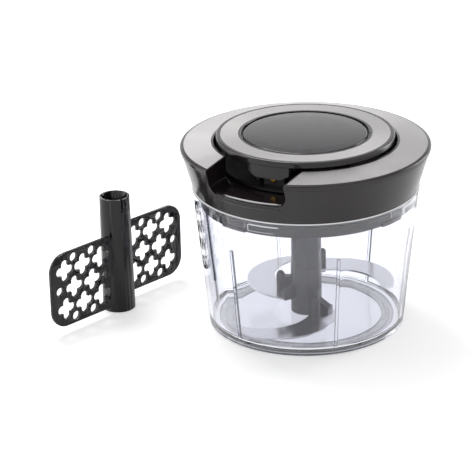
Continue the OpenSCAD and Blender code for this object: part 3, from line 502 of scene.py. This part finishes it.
def paddle_wing():
    """A flat wing with eight crosses in three rows and round holes between them."""
    middle = WING_LIFT + WING_H / 2
    cutters = []
    for i in range(3):
        for side in (-1, 1):
            cutters += cross_cutter(LAST_CROSS - CROSS_PITCH * i, middle + side * CROSS_ROW)
    for i in range(2):
        x = LAST_CROSS - CROSS_PITCH * (i + 0.5)
        cutters += cross_cutter(x, middle)
        cutters += [pin(x, middle + side * HOLE_ROW, HOLE_D) for side in (-1, 1)]
    cutters.append(pin(LAST_CROSS + END_HOLE_PAST, middle, END_HOLE_D))
    cutters.append(pin(LAST_CROSS - 2 * CROSS_PITCH - TUBE_HOLE_PAST, middle, TUBE_HOLE_D))
    wing = rounded_plate()
    combined(wing, joined(cutters), "DIFFERENCE")
    return wing


def paddle_tube():
    """The paddle's tapered tube with its mouth, socket, pin bore and two slots."""
    tube = fresh(bpy.ops.mesh.primitive_cone_add, vertices=TUBE_SIDES, radius1=FOOT_R * MM,
                 radius2=MOUTH_R * MM, depth=PADDLE_H * MM, location=(0, 0, PADDLE_H / 2 * MM))
    for radius, deep, z in ((MOUTH_R - MOUTH_WALL, MOUTH_DEEP, PADDLE_H),
                            (SOCKET_R, SOCKET_DEEP, PADDLE_H),
                            (PIN_BORE_R, PIN_BORE_DEEP, 0)):
        bore = fresh(bpy.ops.mesh.primitive_cylinder_add, vertices=TUBE_SIDES,
                     radius=radius * MM, depth=2 * deep * MM, location=(0, 0, z * MM))
        combined(tube, bore, "DIFFERENCE")
    for az in SLOT_AZ:
        slot = block((0, -SLOT_W / 2, PADDLE_H - SLOT_DEEP),
                     (FOOT_R + SLOT_PAST, SLOT_W / 2, PADDLE_H + SLOT_PAST))
        slot.rotation_euler = (0, 0, math.radians(az - PADDLE_AZ))
        combined(tube, slot, "DIFFERENCE")
    return tube


def paddle():
    """The loose mixing paddle: a tube with a slotted mouth and two pierced wings."""
    tube = paddle_tube()
    wing = paddle_wing()
    opposite = copied(wing)
    opposite.rotation_euler = (0, 0, math.pi)
    combined(tube, wing, "UNION")
    combined(tube, opposite, "UNION")
    shaped(tube, "BEVEL", width=TUBE_ROUND * MM, segments=2, limit_method="ANGLE",
           angle_limit=math.radians(40))
    shaped(tube, "WEIGHTED_NORMAL")
    tube.name = "paddle_pierced"
    tube.rotation_euler = (0, 0, math.radians(PADDLE_AZ))
    tube.location = (PADDLE_X * MM, PADDLE_Y * MM, 0)
    bpy.ops.object.transform_apply(location=True, rotation=True, scale=True)
    bpy.ops.object.shade_smooth_by_angle(angle=math.radians(30))
    tube.data.materials.clear()
    tube.data.materials.append(finishes["paddle_black"])
    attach(tube, "paddle_body")
    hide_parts("mixing_paddle")


paddle()


# ---- camera ----

FOCAL_PX, FRAME_PX, SENSOR_MM = 2009.7, 472, 36
CAMERA_AT = (-0.0025, -1.2050, 0.5542)
YAW, PITCH, ROLL = (math.radians(angle) for angle in (-2.038, 22.442, -1.204))

camera_data = bpy.data.cameras.new("camera")
camera_data.sensor_width = SENSOR_MM
camera_data.lens = SENSOR_MM * FOCAL_PX / FRAME_PX
camera_data.clip_start = 0.05
camera_data.clip_end = 20
camera = bpy.data.objects.new("camera", camera_data)
bpy.context.scene.collection.objects.link(camera)
forward = Vector((math.sin(YAW) * math.cos(PITCH), math.cos(YAW) * math.cos(PITCH),
                  -math.sin(PITCH)))
level = Vector((math.cos(YAW), -math.sin(YAW), 0))
upright = level.cross(forward)
right = math.cos(ROLL) * level + math.sin(ROLL) * upright
up = math.cos(ROLL) * upright - math.sin(ROLL) * level
camera.matrix_world = Matrix.Translation(CAMERA_AT) @ Matrix(
    (right, up, -forward)).transposed().to_4x4()
bpy.context.scene.camera = camera


# ---- studio ----

# Directions are parts of a unit vector, and levels are shares of plain white.
# A mirror finds bright paper low down all round and a darker room above it; the end of the
# studio where the camera stands is the better lit
FRONT_TO_BACK, FRONT_LEVEL, BACK_LEVEL = (-0.7, 0.7), 1.3, 1.0
PAPER_TO_ROOM, PAPER_LEVEL, ROOM_LEVEL = (0.27, 0.40), 1.45, 0.45
# Light bent through clear plastic is white from low down and grey from above
BENT_RISE, BENT_LOW_LEVEL, BENT_HIGH_LEVEL = (0.45, 0.75), 1.32, 0.3
# What lights a dull surface, and what is seen straight
DULL_LEVEL, SEEN_LEVEL = 0.5, 1.0


def studio_world():
    """Even pale light; what is seen directly, through plastic or in a mirror is white."""
    world = bpy.data.worlds.new("studio")
    world.use_nodes = True
    tree = world.node_tree
    tree.nodes.clear()
    seen = add(tree, "ShaderNodeLightPath")
    place = add(tree, "ShaderNodeTexCoord")
    split = add(tree, "ShaderNodeSeparateXYZ", {"Vector": place.outputs["Generated"]})
    front = add(tree, "ShaderNodeMapRange", {
        "Value": split.outputs["Y"], "From Min": FRONT_TO_BACK[0], "From Max": FRONT_TO_BACK[1],
        "To Min": FRONT_LEVEL, "To Max": BACK_LEVEL})
    low = add(tree, "ShaderNodeMapRange", {
        "Value": split.outputs["Z"], "From Min": PAPER_TO_ROOM[0], "From Max": PAPER_TO_ROOM[1],
        "To Min": PAPER_LEVEL, "To Max": ROOM_LEVEL})
    studio = add(tree, "ShaderNodeMath", {
        0: front.outputs["Result"], 1: low.outputs["Result"]}, operation="MULTIPLY")
    mirror = add(tree, "ShaderNodeMix", {
        "Factor": seen.outputs["Is Glossy Ray"], "A": DULL_LEVEL,
        "B": studio.outputs["Value"]}, data_type="FLOAT")
    bent = add(tree, "ShaderNodeMapRange", {
        "Value": split.outputs["Z"], "From Min": BENT_RISE[0], "From Max": BENT_RISE[1],
        "To Min": BENT_LOW_LEVEL, "To Max": BENT_HIGH_LEVEL})
    through = add(tree, "ShaderNodeMix", {
        "Factor": seen.outputs["Is Transmission Ray"], "A": mirror.outputs[0],
        "B": bent.outputs["Result"]}, data_type="FLOAT")
    level_of = add(tree, "ShaderNodeMix", {
        "Factor": seen.outputs["Is Camera Ray"], "A": through.outputs[0],
        "B": SEEN_LEVEL}, data_type="FLOAT")
    light = add(tree, "ShaderNodeBackground", {
        "Color": linear("#FFFFFF"), "Strength": level_of.outputs[0]})
    add(tree, "ShaderNodeOutputWorld", {"Surface": light.outputs["Background"]})
    bpy.context.scene.world = world


def softbox(name, place, aim, size, watts):
    """A rectangular lamp in metres, turned to face the point that it is aimed at."""
    data = bpy.data.lights.new(name, "AREA")
    data.shape = "RECTANGLE"
    data.size, data.size_y = size
    data.energy = watts
    lamp = bpy.data.objects.new(name, data)
    bpy.context.scene.collection.objects.link(lamp)
    lamp.location = place
    lamp.rotation_euler = (Vector(aim) - Vector(place)).to_track_quat("-Z", "Y").to_euler()


# The sheet's side, and how far out it starts to brighten and is white, in metres
PAPER_SIDE, SWEEP_FROM, SWEEP_TO = 12, 0.4, 1.2
# How brightly the paper glows where it is seen near and far, seen through clear plastic, and
# mirrored
GLOW_NEAR, GLOW_FAR, GLOW_THROUGH, GLOW_MIRRORED = 0.42, 1.0, 1.0, 0.15
PAPER_COLOUR, PAPER_BEHIND_PLASTIC = "#EFEFF0", "#CFCFD0"
# The paper lies just under the foot, so that no two faces share a plane
FLOOR_DROP = 0.2 * MM


def white_floor():
    """Pale sweep: plain white to the eye, but it takes the object's shadow."""
    bpy.ops.object.select_all(action="DESELECT")
    bpy.ops.mesh.primitive_plane_add(size=PAPER_SIDE, location=(0, 0, -FLOOR_DROP))
    floor = bpy.context.object
    floor.name = "floor"
    made, tree = new_tree("white_paper_sweep")
    seen = add(tree, "ShaderNodeLightPath")
    place = add(tree, "ShaderNodeTexCoord")
    far = add(tree, "ShaderNodeVectorMath", {0: place.outputs["Object"]}, operation="LENGTH")
    sweep = add(tree, "ShaderNodeMapRange", {
        "Value": far.outputs["Value"], "From Min": SWEEP_FROM, "From Max": SWEEP_TO,
        "To Min": GLOW_NEAR, "To Max": GLOW_FAR})
    plain = add(tree, "ShaderNodeMath", {
        0: seen.outputs["Is Camera Ray"], 1: sweep.outputs["Result"]}, operation="MULTIPLY")
    through = add(tree, "ShaderNodeMath", {
        0: seen.outputs["Is Transmission Ray"], 1: GLOW_THROUGH}, operation="MULTIPLY")
    mirrored = add(tree, "ShaderNodeMath", {
        0: seen.outputs["Is Glossy Ray"], 1: GLOW_MIRRORED}, operation="MULTIPLY")
    direct = add(tree, "ShaderNodeMath", {
        0: plain.outputs["Value"], 1: through.outputs["Value"]}, operation="MAXIMUM")
    most = add(tree, "ShaderNodeMath", {
        0: direct.outputs["Value"], 1: mirrored.outputs["Value"]}, operation="MAXIMUM")
    shade = add(tree, "ShaderNodeMix", {
        "Factor": seen.outputs["Is Transmission Ray"], COLOUR_A: linear(PAPER_COLOUR),
        COLOUR_B: linear(PAPER_BEHIND_PLASTIC)}, data_type="RGBA")
    paper = add(tree, "ShaderNodeBsdfDiffuse", {"Color": shade.outputs[COLOUR_OUT]})
    glow = add(tree, "ShaderNodeEmission", {
        "Color": linear("#FFFFFF"), "Strength": most.outputs["Value"]})
    both = add(tree, "ShaderNodeAddShader", {0: paper.outputs["BSDF"], 1: glow.outputs["Emission"]})
    add(tree, "ShaderNodeOutputMaterial", {"Surface": both.outputs["Shader"]})
    floor.data.materials.append(made)


studio_world()
white_floor()
softbox("top_softbox", place=(0.1, 0.2, 1.35), aim=(0, 0, 0.08), size=(1.0, 0.7), watts=2)
softbox("key_softbox", place=(-0.39, 0.55, 1.24), aim=(-0.04, -0.07, 0.11), size=(0.6, 0.6),
        watts=9)
softbox("left_softbox", place=(-1.3, 0.2, 0.7), aim=(0, 0, 0.06), size=(0.7, 1.0), watts=3)
softbox("right_softbox", place=(1.2, 0.8, 0.6), aim=(0, 0, 0.06), size=(0.6, 1.0), watts=7)
scene = bpy.context.scene
scene.view_settings.view_transform = "Standard"
